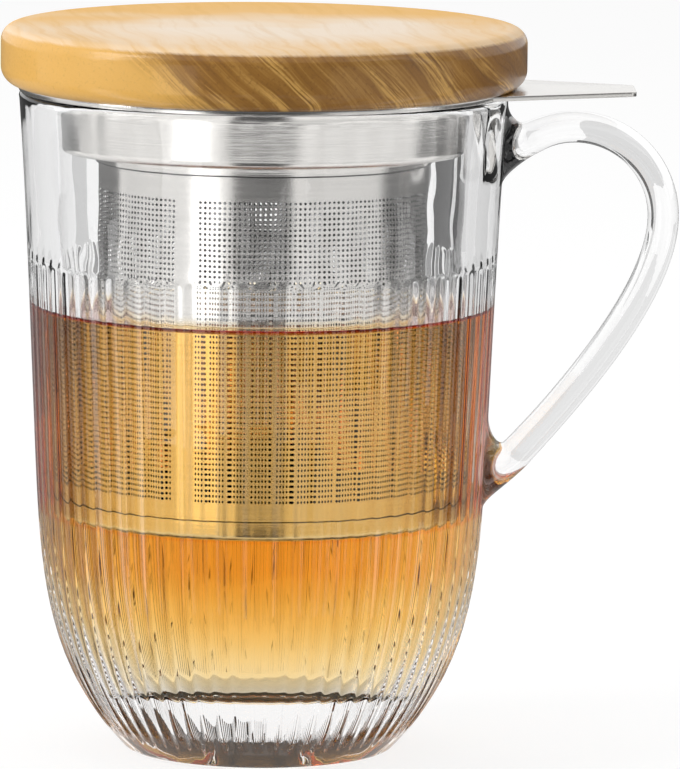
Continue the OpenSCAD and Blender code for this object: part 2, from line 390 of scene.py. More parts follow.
def full_turn(count):
    """Angles that share out one turn, in radians."""
    return np.linspace(0, 2 * math.pi, count + 1)[:-1]


def arc(centre, radius, start, end, steps):
    """Points of an arc in the (radius, height) plane, angles in degrees."""
    angles = np.linspace(start, end, steps + 1)
    return [tuple(p) for p in around(centre, radius, [math.radians(a) for a in angles])]


def ramp(value):
    """A smooth step from 0 to 1."""
    t = np.clip(value, 0.0, 1.0)
    return t * t * (3 - 2 * t)


# ==== Glass mug ====

# Outside and cavity of the glass, in mm.
FOOT_R = 24.0
WALL_TAPER = 0.042
RIM_FLARE = 0.45
FLARE_FROM = 90.0
ROUND_FROM = 62.0
STRAIGHT_R = 38.527
CAVITY_R = 32.427
CAVITY_FLOOR = 14.3
CAVITY_FLOOR_R = 21.0
CAVITY_ROUND_FROM = 47.7
LEAD_IN_FROM = 110.6
LEAD_IN_RUN = 9.0
RIM_ROUND = 1.2
RIM_TOP_R = 42.8
RIM_SEAT_R = 39.6
LEAD_IN = 0.5
SEAT_ROUND = 1.5
WELL_FROM = 48.0
MENISCUS = 0.9
GLASS_IOR = 1.5
TEA_IOR = 1.333
# Scale and depth of the slight waves in their faces.
GLASS_WAVES = (90.0, 0.00012)
TEA_WAVES = (60.0, 0.00004)
# Radius and height round the foot: a narrow standing ring round a slight hollow.
FOOT_PROFILE = (
    (23.75, 0.12), (23.3, 0.0), (20.6, 0.0), (19.9, 0.12), (18.9, 0.5), (12.0, 0.6), (5.0, 0.6))


def outer_r(z):
    """Radius of the glass outside at a height."""
    z = np.asarray(z, float)
    flare = RIM_FLARE * np.clip((z - FLARE_FROM) / (RIM_Z - FLARE_FROM), 0, None) ** 2
    rounding = (STRAIGHT_R - FOOT_R) * np.clip(1 - z / ROUND_FROM, 0, None) ** 4
    return STRAIGHT_R + WALL_TAPER * z + flare - rounding


def inner_r(z):
    """Radius of the cavity at a height."""
    z = np.asarray(z, float)
    lead_in = LEAD_IN * np.clip((z - LEAD_IN_FROM) / LEAD_IN_RUN, 0, None) ** 2
    lead_in += SEAT_ROUND * np.clip((z - RIM_Z + SEAT_ROUND) / SEAT_ROUND, 0, None) ** 2.5
    span = CAVITY_ROUND_FROM - CAVITY_FLOOR
    depth = CAVITY_R + WALL_TAPER * CAVITY_FLOOR - CAVITY_FLOOR_R
    rounding = depth * np.clip((CAVITY_ROUND_FROM - z) / span, 0, None) ** 3
    return CAVITY_R + WALL_TAPER * z + lead_in - rounding


def well_heights(count):
    """Heights down the round part of the cavity, closer together near its floor."""
    return CAVITY_FLOOR + (WELL_FROM - CAVITY_FLOOR) * np.linspace(1, 0, count)[:-1] ** 1.5


# Places of the points across one flute, and the share of it that is hollow.
FLUTE_STEPS = (0.0, 0.05, 0.1, 0.18, 0.32, 0.5, 0.68, 0.82, 0.9, 0.95)
RIDGE_SHARE = 0.74
# How the flutes end at the top and at the foot, and from where down they get deeper, in mm.
FLUTE_TOP_ROUND = 2.0
FLUTE_FOOT_POINT = 5.0
FLUTE_DEEPER_FROM = 60.0
FLUTE_FADE_TOP = 0.9
FLUTE_FADE_FOOT = 2.0


def flute_height(settings, z, share):
    """How far the glass stands in from the plain wall; share is 0 in a flute, 1 on a ridge."""
    c = RIDGE_SHARE
    round_off = c * c + 2 * c * (share - c) - c / (1 - c) * (share - c) ** 2
    rise = np.where(share < c, share**2, round_off) / c
    edge = 1 - np.sqrt(np.clip(1 - share**2, 0, None))
    top = settings.flute_top / MM - FLUTE_TOP_ROUND * edge
    low = settings.flute_foot / MM + FLUTE_FOOT_POINT * edge
    deeper = np.clip(1 - z / FLUTE_DEEPER_FROM, 0, None) ** 2
    depth = settings.flute_depth / MM + settings.flute_depth_low / MM * deeper
    fade = ramp((top - z) / FLUTE_FADE_TOP) * ramp((z - low) / FLUTE_FADE_FOOT)
    return -depth * (1 - rise) * fade


# The patches of wall that the handle's roots take up, and the roots' edges on the wall.
ROOT_TOP = (103.2, 118.0)
ROOT_LOW = (44.6, 60.8)
ROOT_ROWS = 14
ROOT_COLUMNS = 17
ROOT_TOP_MIDDLE, ROOT_TOP_SIZE = 110.0, (6.8, 5.6)
ROOT_LOW_MIDDLE, ROOT_LOW_SIZE = 51.8, (6.8, 6.3)
ROOT_STEPS = 9
ROOT_RUN_LOW = 10.0
ROOT_RUN_TOP = 9.0
ROOT_SWELL = 0.05
ROOT_PULL = 0.42
# Middle line of the handle.
BEND_R = 16.1
BEND_CENTRE = np.array([56.0, 97.4])
BEND_FROM = -1.0
LEG_FOOT_Z = 46.3
TOP_END_Z = 106.5
HANDLE_SINK = 1.7
LEG_PULL = 17.0

WALL_HEIGHTS = np.concatenate([
    [0.55, 1.1, 1.8, 2.6, 3.4],
    np.linspace(4.0, 12.5, 20),
    np.linspace(14.0, ROOT_LOW[0] - 2.6, 10),
    np.linspace(*ROOT_LOW, ROOT_ROWS + 1),
    np.linspace(ROOT_LOW[1] + 2.4, 85.8, 8),
    np.linspace(86.3, 90.6, 15),
    [92.5, 96.5, 100.5],
    np.linspace(*ROOT_TOP, ROOT_ROWS + 1),
])


def bezier(points, t):
    """A point of a Bezier curve of any order."""
    points = [np.asarray(p, float) for p in points]
    while len(points) > 1:
        points = [(1 - t) * a + t * b for a, b in zip(points, points[1:])]
    return points[0]


def handle_line():
    """Middle line of the handle in the XZ plane, from the lower root to the upper one."""
    lean = math.radians(BEND_FROM)
    leg_start = np.array([outer_r(LEG_FOOT_Z) - HANDLE_SINK, LEG_FOOT_Z])
    leg_end = BEND_CENTRE + BEND_R * np.array([math.cos(lean), math.sin(lean)])
    leg_control = leg_end - LEG_PULL * np.array([-math.sin(lean), math.cos(lean)])
    crest = BEND_CENTRE + np.array([0, BEND_R])
    top_end = np.array([outer_r(TOP_END_Z) - HANDLE_SINK, TOP_END_Z])
    top_control = np.array([(crest[0] + top_end[0]) / 2, crest[1]])
    line = [bezier((leg_start, leg_control, leg_end), t) for t in np.linspace(0, 1, 60)[:-1]]
    line += [np.array(p) for p in arc(BEND_CENTRE, BEND_R, BEND_FROM, 90, 50)[:-1]]
    line += [bezier((crest, top_control, top_end), t) for t in np.linspace(0, 1, 30)]
    return np.array(line)


def root_rows(span):
    """First and last ring of the wall round a root."""
    first = int(np.searchsorted(WALL_HEIGHTS, span[0]))
    return first, first + ROOT_ROWS


def wall_loop(rows, rings):
    """Point numbers round a root's patch of the wall, from its left corner in the first row."""
    first, last = rows
    left, right = -ROOT_COLUMNS, ROOT_COLUMNS
    step = 1 if last > first else -1
    loop = [rings[first][c] for c in range(left, right)]
    loop += [rings[r][right] for r in range(first, last, step)]
    loop += [rings[last][c] for c in range(right, left, -1)]
    loop += [rings[r][left] for r in range(last, first, -step)]
    return loop


def tube_ring(settings, at, ahead, turn, grow=1.0):
    """One ring of the handle's tube."""
    lift = np.array([-ahead[1], 0.0, ahead[0]])
    side = np.array([0.0, 1.0, 0.0])
    centre = np.array([at[0], 0.0, at[1]])
    return (
        centre
        + np.outer(np.cos(turn) * settings.handle_wide / MM / 2 * grow, side)
        + np.outer(np.sin(turn) * settings.handle_thick / MM / 2 * grow, lift)
    )


def root_rings(wall, middle, size, settings, tube_at, ahead, outward):
    """Rings of points that flow from a loop on the wall into the handle's tube."""
    lift = np.array([-ahead[1], 0.0, ahead[0]])
    up = 1.0 if lift[2] > 0 else -1.0
    turn = np.arctan2(up * (wall[:, 2] - middle) / size[1], wall[:, 1] / size[0])
    tube = tube_ring(settings, tube_at, ahead, turn, 1 + ROOT_SWELL)
    edge_z = middle + up * np.sin(turn) * size[1]
    edge_y = np.cos(turn) * size[0]
    edge = np.column_stack([np.sqrt(outer_r(edge_z) ** 2 - edge_y**2), edge_y, edge_z])
    reach = np.linalg.norm(tube - edge, axis=1)[:, None]
    pull = tube - np.array([outward[0], 0.0, outward[1]]) * reach * ROOT_PULL
    rings = [bezier((wall, edge, pull, tube), t) for t in np.linspace(0, 1, ROOT_STEPS + 1)[1:]]
    return rings, turn


def unwrap_mix(first, second, share):
    """A mix of two rings of angles that may differ by whole turns."""
    gap = (second - first + math.pi) % (2 * math.pi) - math.pi
    return first + share * gap


class GlassShape:
    """The points, rings of point numbers and faces of the glass while it is made."""

    def __init__(self, settings):
        flutes = settings.flutes
        columns = np.array([(k + u) / flutes for k in range(flutes) for u in FLUTE_STEPS])
        self.settings, self.turn = settings, 2 * math.pi * columns
        self.points, self.rings, self.faces = [], [], []

    def add(self, points):
        """Adds points and gives back their numbers."""
        first = len(self.points)
        self.points.extend(np.asarray(points).tolist())
        return list(range(first, len(self.points)))

    def at(self, numbers):
        """The points with these numbers."""
        return np.array([self.points[i] for i in numbers])

    def ring(self, radius, height, turn):
        """Adds a level ring; the radius is one number, or one for each angle."""
        self.rings.append(self.add(np.column_stack(
            [radius * np.cos(turn), radius * np.sin(turn), np.full(len(turn), height)])))

    def cap(self, height):
        """Faces from a point on the axis to the last ring."""
        middle, ring = self.add([(0.0, 0.0, height)])[0], self.rings[-1]
        return [(middle, ring[i], ring[i - 1]) for i in range(len(ring))]

    def wall(self):
        """The fluted outside and the round rim, open where the handle's roots go."""
        share = np.abs(2 * (np.tile(FLUTE_STEPS, self.settings.flutes) - 0.5))
        count = len(self.turn)
        for z in WALL_HEIGHTS:
            self.ring(outer_r(z) + flute_height(self.settings, z, share), z, self.turn)
        for r, z in arc((RIM_TOP_R, RIM_Z - RIM_ROUND), RIM_ROUND, 10, 90, 4):
            self.ring(r, z, self.turn)
        spans = root_rows(ROOT_LOW), root_rows(ROOT_TOP)
        for row, (low, high) in enumerate(zip(self.rings, self.rings[1:])):
            rooted = any(first <= row < last for first, last in spans)
            for column in range(count):
                if rooted and not ROOT_COLUMNS <= column < count - ROOT_COLUMNS:
                    continue
                beside = (column + 1) % count
                self.faces.append((low[column], low[beside], high[beside], high[column]))

    def handle(self):
        """The handle: both roots flow out of the wall, and one tube joins them."""
        line = handle_line()
        step = np.gradient(line, axis=0)
        step /= np.linalg.norm(step, axis=1)[:, None]
        lengths = np.linalg.norm(np.diff(line, axis=0), axis=1)
        travelled = np.concatenate([[0], np.cumsum(lengths)])
        first = np.searchsorted(travelled, ROOT_RUN_LOW)
        last = np.searchsorted(travelled, travelled[-1] - ROOT_RUN_TOP)
        low_loop = wall_loop(root_rows(ROOT_LOW), self.rings)
        top_loop = wall_loop(root_rows(ROOT_TOP)[::-1], self.rings)
        low_rings, low_turn = root_rings(
            self.at(low_loop), ROOT_LOW_MIDDLE, ROOT_LOW_SIZE, self.settings,
            line[first], step[first], step[first])
        top_rings, top_turn = root_rings(
            self.at(top_loop), ROOT_TOP_MIDDLE, ROOT_TOP_SIZE, self.settings,
            line[last], step[last], -step[last])
        rings = [low_loop] + [self.add(ring) for ring in low_rings]
        for i in range(first + 2, last - 1, 2):
            near = max(0.0, 1 - min(i - first, last - i) / 8)
            angles = unwrap_mix(low_turn, top_turn, (i - first) / (last - first))
            rings.append(self.add(
                tube_ring(self.settings, line[i], step[i], angles, 1 + ROOT_SWELL * near**2)))
        rings += [self.add(ring) for ring in reversed(top_rings)] + [top_loop]
        for low, high in zip(rings, rings[1:]):
            self.faces += band(low, high)

    def cavity(self, tea_top):
        """The rim's flat land and the cavity; gives back the faces that the tea wets."""
        outer, first, turn = self.rings[-1], len(self.rings), self.turn[::2]
        self.ring(RIM_SEAT_R, RIM_Z, turn)
        seat, half = self.rings[first], len(turn)
        for i in range(half):
            j, k = 2 * i, (2 * i + 2) % len(outer)
            self.faces.append((outer[j], outer[j + 1], outer[k], seat[(i + 1) % half], seat[i]))
        heights = np.concatenate([
            RIM_Z - SEAT_ROUND * np.array([0.08, 0.25, 0.5, 0.75, 1.0]),
            np.linspace(RIM_Z - 2.4, LEAD_IN_FROM, 6), [100.0, 90.0, tea_top],
            np.linspace(72.0, 50.0, 4), well_heights(16),
        ])
        for z in heights:
            self.ring(float(inner_r(z)), z, turn)
        for r in (CAVITY_FLOOR_R, CAVITY_FLOOR_R - 1.5, 12.0, 5.0):
            self.ring(r, CAVITY_FLOOR, turn)
        wet = []
        for high, low in zip(self.rings[first:], self.rings[first + 1:]):
            is_wet = self.points[high[0]][2] <= tea_top + 1e-6
            (wet if is_wet else self.faces).extend(band(high, low))
        return wet + self.cap(CAVITY_FLOOR)

    def foot(self):
        """The underside."""
        first = len(self.rings)
        for r, z in FOOT_PROFILE:
            self.ring(r, z, self.turn)
        under = self.rings[first:]
        for outer, inner in zip([self.rings[0]] + under, under):
            self.faces += band(outer, inner)
        self.faces += self.cap(FOOT_PROFILE[-1][1])


def clear_finish(name, ior, waves):
    """A clear skin whose face waves very slightly, as pressed glass and tea do."""
    finish = new_finish(name)
    scale, depth = waves
    return finish.finish(finish.skin(
        Base_Color=WHITE, Roughness=0.0, IOR=ior, Transmission_Weight=1.0,
        Normal=finish.bump(finish.noise(finish.where(), scale, 1.0), depth),
    ))


class TEAMUG_OT_glass(Undoable, bpy.types.Operator):
    """Builds the fluted glass mug and its fused handle as one piece of glass"""

    bl_idname = "teamug.glass"
    bl_label = "Glass Mug"

    def execute(self, context):
        settings = context.scene.tea_mug
        glass = GlassShape(settings.glass)
        glass.wall()
        glass.handle()
        wet_faces = glass.cavity(settings.tea.level / MM + MENISCUS)
        glass.foot()
        clear = clear_finish("clear_glass", GLASS_IOR, GLASS_WAVES)
        wet = clear_finish("wetted_glass", GLASS_IOR / TEA_IOR, GLASS_WAVES)
        make_piece(
            "mug_glass", glass.points, glass.faces + wet_faces, [clear, wet], "mug",
            ("mug_body", "mug_handle"), sharp=0,
            faces_of=[0] * len(glass.faces) + [1] * len(wet_faces),
        )
        return {"FINISHED"}


# ==== Tea ====

# Top, bottom and share of the strength below the basket: the tea looks palest at the bottom.
TEA_LAYERS = (
    (BASKET_LOW, 31.0, 1.15), (31.0, 24.0, 0.85), (24.0, 18.5, 0.6), (18.5, CAVITY_FLOOR, 0.4))
TEA_GAP = 0.02
WALL_LAYER = 1.2
TEA_STEPS = 128
# How high the tea climbs the sleeve and over which reach, and its reach by the glass.
SLEEVE_CLIMB = 0.6
SLEEVE_REACH = 1.4
GLASS_REACH = 1.8


class TEAMUG_OT_tea(Undoable, bpy.types.Operator):
    """Fills the mug with clear amber tea"""

    bl_idname = "teamug.tea"
    bl_label = "Tea"

    def execute(self, context):
        settings = context.scene.tea_mug.tea
        level = settings.level / MM
        wall = float(inner_r(level + MENISCUS))
        top = [(0.0, level)]
        top += [(SLEEVE_R - 0.4 - SLEEVE_REACH * (1 - t), level + SLEEVE_CLIMB * t**3)
                for t in np.linspace(0, 1, 6)]
        top += [(SLEEVE_R + SLEEVE_REACH * t, level + SLEEVE_CLIMB * (1 - t) ** 3)
                for t in np.linspace(0, 1, 6)]
        top += [(wall - TEA_GAP - GLASS_REACH * (1 - t), level + MENISCUS * t**2.5)
                for t in np.linspace(0, 1, 9)]
        heights = np.concatenate([np.linspace(level - 1, 50.0, 8), well_heights(20)])
        side = [(float(inner_r(z)) - TEA_GAP, z) for z in heights]
        for name, profile, strength, closed in self.bodies(settings, wall, top, side):
            points, faces = turned(profile, TEA_STEPS, closed)
            brew = new_finish(name + "_brew")
            absorb = brew.node(
                "ShaderNodeVolumeAbsorption", {},
                {"Color": tuple(settings.tint), "Density": strength},
            )
            make_piece(name, points, faces, [brew.finish(volume=absorb)], "mug", sharp=0)

        film = clear_finish("tea_surface", TEA_IOR, TEA_WAVES)
        top[-1] = (wall, level + MENISCUS)
        points, faces = turned(top, TEA_STEPS, closed=False)
        surface = make_piece("tea_surface", points, faces, [film], "mug", sharp=0)
        if surface.data.polygons[0].normal.z < 0:
            surface.data.flip_normals()
        return {"FINISHED"}

    @staticmethod
    def bodies(settings, wall, top, side):
        """Name, profile and strength of each body of tea, and whether its profile is closed."""
        low_r = float(inner_r(BASKET_LOW)) - TEA_GAP
        inner_low_r = low_r - WALL_LAYER
        sides = [(r, z) for r, z in side if z > BASKET_LOW + 0.5]
        core = [(r, z - TEA_GAP) for r, z in top if r < wall - WALL_LAYER - 2 * TEA_GAP]
        core += [(r - WALL_LAYER, z) for r, z in sides]
        core += [(inner_low_r, BASKET_LOW), (0.0, BASKET_LOW)]
        thin = [(r, z - TEA_GAP) for r, z in top if r > wall - WALL_LAYER] + sides
        thin += [(low_r, BASKET_LOW + TEA_GAP), (inner_low_r + TEA_GAP, BASKET_LOW + TEA_GAP)]
        thin += [(r - WALL_LAYER + TEA_GAP, z) for r, z in reversed(sides)]
        bodies = [("tea", core, settings.strength, False),
                  ("tea_by_the_wall", thin, settings.strength_wall, True)]
        for number, (high, low, share) in enumerate(TEA_LAYERS, 1):
            layer = [(0.0, high - TEA_GAP), (float(inner_r(high)) - TEA_GAP, high - TEA_GAP)]
            layer += [(r, z) for r, z in side if low + 0.3 < z < high - 0.3]
            if low > CAVITY_FLOOR:
                layer += [(float(inner_r(low)) - TEA_GAP, low), (0.0, low)]
            else:
                layer += [(r, low + TEA_GAP) for r in (CAVITY_FLOOR_R - TEA_GAP, 0.0)]
            bodies.append((f"tea_layer_{number}", layer, settings.strength * share, False))
        return bodies


# ==== Infuser ====

# Colour of the painted shade in the steel's seams.
SEAM_SHADE = (0.035, 0.033, 0.03)
# Roughness of each steel, and its brushed lines in a metre.
STEELS = {
    "collar_steel": (0.15, 5200.0),
    "base_ring_steel": (0.2, 5200.0),
    "plate_steel": (0.22, 2600.0),
    "sleeve_steel": (0.2, 1500.0),
    "floor_steel": (0.24, 900.0),
}


def steel_finish(name, turned_round=True, inside=1.0, seam_shade_lines=()):
    """Satin steel, brushed along or round, with painted shade: dark lines along each seam and,
    where asked, a darker inside.
    """
    finish = new_finish(name)
    roughness, lines = STEELS[name]
    tone = tuple(bpy.context.scene.tea_mug.infuser.steel)
    where = finish.where()
    if turned_round:
        x, y, z = finish.split(where)
        lined = finish.join(finish.maths("ARCTAN2", y, x) * 1.2, z * lines, 0.0)
    else:
        lined = finish.stretch(where, (18.0, lines, 1.0))
    hair = finish.noise(lined, 1.0, 3.0, 0.6)
    cloud = finish.noise(where, 160.0, 2.0)
    dull = tuple(c * 0.86 for c in tone)
    shade = finish.mix((hair * 0.7 + cloud * 0.3).clamp(), dull, tone)
    # Painted shade: the back faces get a darker copy of the steel, for the dim inside of the
    # basket.
    if inside < 1.0:
        back_face_shade_mask = finish.node("ShaderNodeNewGeometry").out("Backfacing")
        shade = finish.mix(back_face_shade_mask, shade, tuple(c * inside for c in tone))
    # Painted shade: darker lines at the given heights, where parts of the steel meet.
    for height, width in seam_shade_lines:
        off = finish.maths("ABSOLUTE", z * PER_METRE - height)
        shade = finish.mix((1.5 - off / width).clamp(), shade, SEAM_SHADE)
    skin = finish.skin(
        Base_Color=shade, Metallic=1.0, Roughness=(roughness - 0.06 + hair * 0.12).clamp(),
        Normal=finish.bump(hair, 0.00002),
    )
    return finish.finish(skin)


# Collar, in mm.
COLLAR_R = 37.0
COLLAR_LOW_R = 36.4
COLLAR_T = 0.6
SHOULDER_Z = 109.6
COLLAR_CORNER = 1.5
BORE_R = 36.4
EDGE_SOFT = 0.15
# Points round the turned pieces.
TURN_STEPS = 192


class TEAMUG_OT_collar(Undoable, bpy.types.Operator):
    """Builds the drawn collar with its shoulder and neck"""

    bl_idname = "teamug.collar"
    bl_label = "Collar"

    def execute(self, context):
        centre = (COLLAR_LOW_R - COLLAR_CORNER, SHOULDER_Z + COLLAR_CORNER)
        neck_r = SLEEVE_R + COLLAR_T
        soft = 0.25
        profile = [(COLLAR_R, RIM_Z - TOUCH_GAP), (COLLAR_R - 0.05, RIM_Z - 1.2)]
        profile += arc(centre, COLLAR_CORNER, 0, -90, 8)
        profile += [(neck_r + soft, SHOULDER_Z)]
        profile += arc((neck_r + soft, SHOULDER_Z - soft), soft, 90, 180, 3)[1:]
        inner = SLEEVE_R + SHEET_GAP
        profile += [(neck_r, NECK_LOW + EDGE_SOFT), (neck_r - EDGE_SOFT, NECK_LOW)]
        profile += [(inner, NECK_LOW), (inner, SHOULDER_Z + COLLAR_T)]
        profile += arc(centre, COLLAR_CORNER - COLLAR_T, -90, 0, 8)
        profile += [(BORE_R, RIM_Z - TOUCH_GAP)]
        # Painted shade: dark lines where the shoulder meets the neck and at the neck's lower edge.
        seam_shade_lines = ((SHOULDER_Z - 0.12, 0.12), (NECK_LOW + 0.1, 0.16))
        turned_piece(
            "infuser_collar_shell", profile, TURN_STEPS, steel_finish("collar_steel", seam_shade_lines=seam_shade_lines),
            "infuser", "infuser_collar")
        return {"FINISHED"}


# Tab and edge of the rim plate, in mm.
TAB_CORNER_R = 1.6
TAB_TIP_HALF = 6.5
TAB_ROOT_HALF = 13.5
PLATE_BEVEL = 0.12
PLATE_SHARP = 28


def plate_outline():
    """Outline of the rim plate: a tab with two round corners on a round plate."""
    tip = np.array([TAB_REACH - TAB_CORNER_R, TAB_TIP_HALF - TAB_CORNER_R])
    lean = math.atan2(TAB_ROOT_HALF - TAB_TIP_HALF, tip[0] - LID_R)
    corner = around(tip, TAB_CORNER_R, np.linspace(0, math.pi / 2 - lean, 8))
    slope = math.tan(lean)
    edge_x = next(
        x for x in np.linspace(40, 36, 400)
        if math.hypot(x, TAB_ROOT_HALF + (LID_R - x) * slope) < PLATE_R
    )
    start = math.atan2(TAB_ROOT_HALF + (LID_R - edge_x) * slope, edge_x)
    round_part = around((0.0, 0.0), PLATE_R, np.linspace(start, 2 * math.pi - start, 150))
    return [np.array([x, -y]) for x, y in reversed(corner)] + corner + round_part


class TEAMUG_OT_rim_plate(Undoable, bpy.types.Operator):
    """Builds the flat rim plate with its lifting tab"""

    bl_idname = "teamug.rim_plate"
    bl_label = "Rim Plate"

    def execute(self, context):
        low, high = RIM_Z, LID_LOW
        curve = bpy.data.curves.new("rim_plate_outline", "CURVE")
        curve.dimensions, curve.fill_mode = "2D", "BOTH"
        for loop in (plate_outline(), around((0.0, 0.0), BORE_R, full_turn(160))):
            spline = curve.splines.new("POLY")
            spline.points.add(len(loop) - 1)
            for point, (x, y) in zip(spline.points, loop):
                point.co = (x * MM, y * MM, 0, 1)
            spline.use_cyclic_u = True
        curve.extrude = ((high - low) / 2 - PLATE_BEVEL) * MM
        curve.bevel_depth, curve.bevel_resolution = PLATE_BEVEL * MM, 2
        curve.offset = -PLATE_BEVEL * MM
        drawn = bpy.data.objects.new("rim_plate_drawn", curve)
        context.scene.collection.objects.link(drawn)
        context.view_layer.update()
        evaluated = drawn.evaluated_get(context.evaluated_depsgraph_get())
        mesh = bpy.data.meshes.new_from_object(evaluated)
        bpy.data.objects.remove(drawn)
        mesh.transform(Matrix.Translation((0, 0, (low + high) / 2 * MM)))
        work = bmesh.new()
        work.from_mesh(mesh)
        bmesh.ops.remove_doubles(work, verts=work.verts, dist=1e-6)
        bmesh.ops.recalc_face_normals(work, faces=work.faces)
        work.to_mesh(mesh)
        work.free()
        mesh.materials.clear()
        steel = steel_finish("plate_steel", turned_round=False)
        add_piece(
            "infuser_plate_and_tab", mesh, [steel], "infuser",
            ("infuser_rim_plate",), PLATE_SHARP)
        return {"FINISHED"}


# Width and azimuth of the plain seam strip, in degrees from the front, and its columns.
STRIP_DEGREES = 8.2
STRIP_AZIMUTH = -25.8
STRIP_COLUMNS = 4
# Rows of plain sheet under the holes.
ROWS_BELOW = 2


class TEAMUG_OT_sleeve(Undoable, bpy.types.Operator):
    """Builds the rolled sleeve with its rows of etched holes and the plain seam strip"""

    bl_idname = "teamug.sleeve"
    bl_label = "Perforated Sleeve"

    def execute(self, context):
        settings = context.scene.tea_mug.infuser
        columns, rows = settings.hole_columns, settings.hole_rows
        radius = SLEEVE_R - SHEET_GAP
        low, high = settings.holes_low / MM, settings.holes_high / MM
        half = settings.hole_size / MM / 2
        start = math.radians(FRONT + STRIP_AZIMUTH + STRIP_DEGREES / 2)
        span = math.radians(360 - STRIP_DEGREES)
        turn = start + span * np.arange(columns + 1) / columns
        strip = math.radians(STRIP_DEGREES) * np.arange(1, STRIP_COLUMNS) / STRIP_COLUMNS
        turn_all = np.concatenate([turn, turn[-1] + strip])
        heights = np.linspace(low, high, rows + 1)
        heights_all = np.concatenate([[SLEEVE_LOW, (SLEEVE_LOW + low) / 2], heights,
                                      [high + 2.2, high + 4.2, SLEEVE_TOP - 0.05]])
        wide = len(turn_all)
        grid = np.arange(len(heights_all) * wide).reshape(len(heights_all), wide)
        turn_grid, height_grid = np.meshgrid(turn_all, heights_all)
        flat = [np.column_stack([turn_grid.ravel(), height_grid.ravel()])]
        faces = []
        six = [math.radians(60 * k) for k in range(6)]
        number = grid.size
        for row in range(len(heights_all) - 1):
            in_rows = ROWS_BELOW <= row < ROWS_BELOW + rows
            for column in range(wide):
                beside = (column + 1) % wide
                a, b = grid[row][column], grid[row][beside]
                c, d = grid[row + 1][beside], grid[row + 1][column]
                if not (in_rows and column < columns):
                    faces.append((a, b, c, d))
                    continue
                mid_turn = (turn_all[column] + turn_all[column + 1]) / 2
                mid_height = (heights_all[row] + heights_all[row + 1]) / 2
                flat.append(np.array([
                    (mid_turn + half * math.cos(t) / radius, mid_height + half * math.sin(t))
                    for t in six
                ]))
                h = [number + k for k in range(6)]
                number += 6
                faces += [
                    (a, b, h[5], h[4]), (c, d, h[2], h[1]),
                    (b, c, h[1], h[0], h[5]), (d, a, h[4], h[3], h[2]),
                ]
        flat = np.concatenate(flat)
        points = np.column_stack([
            radius * np.cos(flat[:, 0]), radius * np.sin(flat[:, 0]), flat[:, 1]
        ])
        # The inside of the sheet is painted at 8% of the steel's tone: painted shade.
        make_piece(
            "infuser_sleeve_sheet", points, [tuple(int(i) for i in f) for f in faces],
            [steel_finish("sleeve_steel", inside=0.08)],
            "infuser", ("infuser_sleeve",), sharp=0,
        )
        return {"FINISHED"}


class TEAMUG_OT_base_ring(Undoable, bpy.types.Operator):
    """Builds the pressed ring round the basket's lower end"""

    bl_idname = "teamug.base_ring"
    bl_label = "Base Ring"

    def execute(self, context):
        ring_r, corner, ledge_r = SLEEVE_R + 0.4, 1.0, 26.2
        inner, ledge_z = SLEEVE_R + TOUCH_GAP, SLEEVE_LOW - TOUCH_GAP
        profile = [(ring_r, RING_TOP - 0.1)]
        profile += arc((ring_r - corner, BASKET_LOW + corner), corner, 0, -90, 7)
        profile += [(ledge_r + 0.1, BASKET_LOW), (ledge_r, BASKET_LOW + 0.1), (ledge_r, ledge_z)]
        profile += [(inner, ledge_z), (inner, RING_TOP), (ring_r - 0.1, RING_TOP)]
        # Painted shade: a dark line at the ring's top edge, where it meets the sleeve.
        turned_piece(
            "infuser_base_ring_band", profile, TURN_STEPS,
            steel_finish("base_ring_steel", seam_shade_lines=((RING_TOP, 0.14),)),
            "infuser", "infuser_base_ring")
        return {"FINISHED"}


# Points round the basket's floor, then the pitch of its holes and its plain rim, in mm.
DISC_STEPS = 128
HOLE_PITCH = 1.0
PLAIN_RIM = 2.6


class TEAMUG_OT_basket_floor(Undoable, bpy.types.Operator):
    """Builds the perforated floor of the basket"""

    bl_idname = "teamug.basket_floor"
    bl_label = "Basket Floor"

    def execute(self, context):
        settings = context.scene.tea_mug.infuser
        half = settings.hole_size / MM / 2
        low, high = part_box("infuser_floor")
        rim = high.x / MM - TOUCH_GAP
        points2d = [Vector(p) for p in around((0.0, 0.0), rim, full_turn(DISC_STEPS))]
        loops = [list(range(DISC_STEPS))]
        reach = int(rim / HOLE_PITCH) + 1
        for i in range(-reach, reach + 1):
            for j in range(-reach, reach + 1):
                x, y = i * HOLE_PITCH, j * HOLE_PITCH
                if math.hypot(x, y) > rim - PLAIN_RIM:
                    continue
                loops.append(list(range(len(points2d), len(points2d) + 6)))
                points2d += [Vector(p) for p in around((x, y), half, full_turn(6))]
        verts, _, tris, _, _, origins = geometry.delaunay_2d_cdt(points2d, [], loops, 0, 1e-6)
        kept = [t for t, o in zip(tris, origins) if list(o) == [0]]
        z_low, z_high = low.z / MM + 0.01, high.z / MM
        count = len(verts)
        points = [(v.x, v.y, z) for z in (z_low, z_high) for v in verts]
        faces = [tuple(t) for t in kept] + [tuple(i + count for i in reversed(t)) for t in kept]
        edges = dict.fromkeys((t[k], t[(k + 1) % 3]) for t in kept for k in range(3))
        faces += [(b, a, a + count, b + count) for a, b in edges if (b, a) not in edges]
        make_piece(
            "infuser_floor_sheet", points, faces,
            [steel_finish("floor_steel", turned_round=False)],
            "infuser", ("infuser_floor",),
        )
        return {"FINISHED"}


# ==== Lid ====

# Spigot and groove, and the round edges of the lid, in mm.
SPIGOT_R = 34.4
SEAL_IN_R = 33.0
LID_TOP_R = 2.8
LID_LOW_R = 3.4
# Height from which the slanting growth lines are counted.
GRAIN_Z = 126.0


